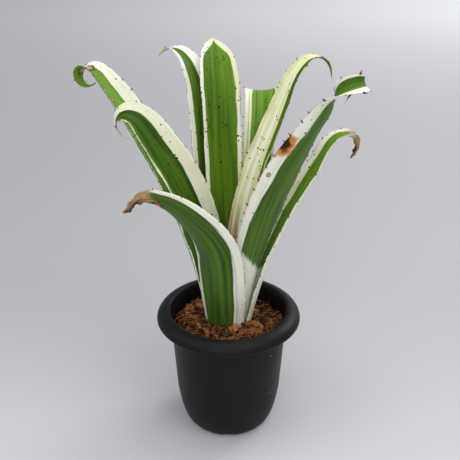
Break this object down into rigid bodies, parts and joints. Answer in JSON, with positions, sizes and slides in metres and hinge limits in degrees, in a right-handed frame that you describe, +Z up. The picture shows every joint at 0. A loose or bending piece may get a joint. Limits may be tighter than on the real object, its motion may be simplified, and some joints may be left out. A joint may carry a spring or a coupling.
{
  "type": "potted bromeliad",
  "caption": "Variegated strap-leaved bromeliad rosette standing in a black nursery pot with a rolled lip, bedded in coarse bark.",
  "frame": {"origin": "centre of the pot's flat underside", "axes": "+Z up, the pot's axis; -Y is the front, +X is right as seen from the front"},
  "size_m": [0.2262, 0.1769, 0.3155],
  "materials": {
    "pot_plastic": "satin black moulded plastic with a soft sheen on the lip",
    "bark": "rough fibrous bark and husk, reddish brown",
    "bark_chips": "split bark flakes with paler fibres, matte",
    "roots": "matted roots, dull",
    "stem": "dull woody",
    "leaf": "smooth waxy leaf, green centre band with cream margins, dark speckles"
  },
  "bodies": {
    "root": {"pot": "pot_plastic", "bark_bed": "bark", "root_ball": "roots", "stem": "stem", "bark_chip_01": "bark_chips", "bark_chip_02": "bark_chips", "bark_chip_03": "bark_chips", "bark_chip_04": "bark_chips", "bark_chip_05": "bark_chips", "bark_chip_06": "bark_chips", "bark_chip_07": "bark_chips", "bark_chip_08": "bark_chips", "bark_chip_09": "bark_chips", "bark_chip_10": "bark_chips", "bark_chip_11": "bark_chips", "bark_chip_12": "bark_chips", "leaf_inner_right": "leaf", "leaf_upper_left": "leaf", "leaf_centre": "leaf", "leaf_back_right": "leaf", "leaf_back_left": "leaf", "leaf_front_right": "leaf", "leaf_left": "leaf", "leaf_right": "leaf", "leaf_front": "leaf"}
  },
  "joints": []
}
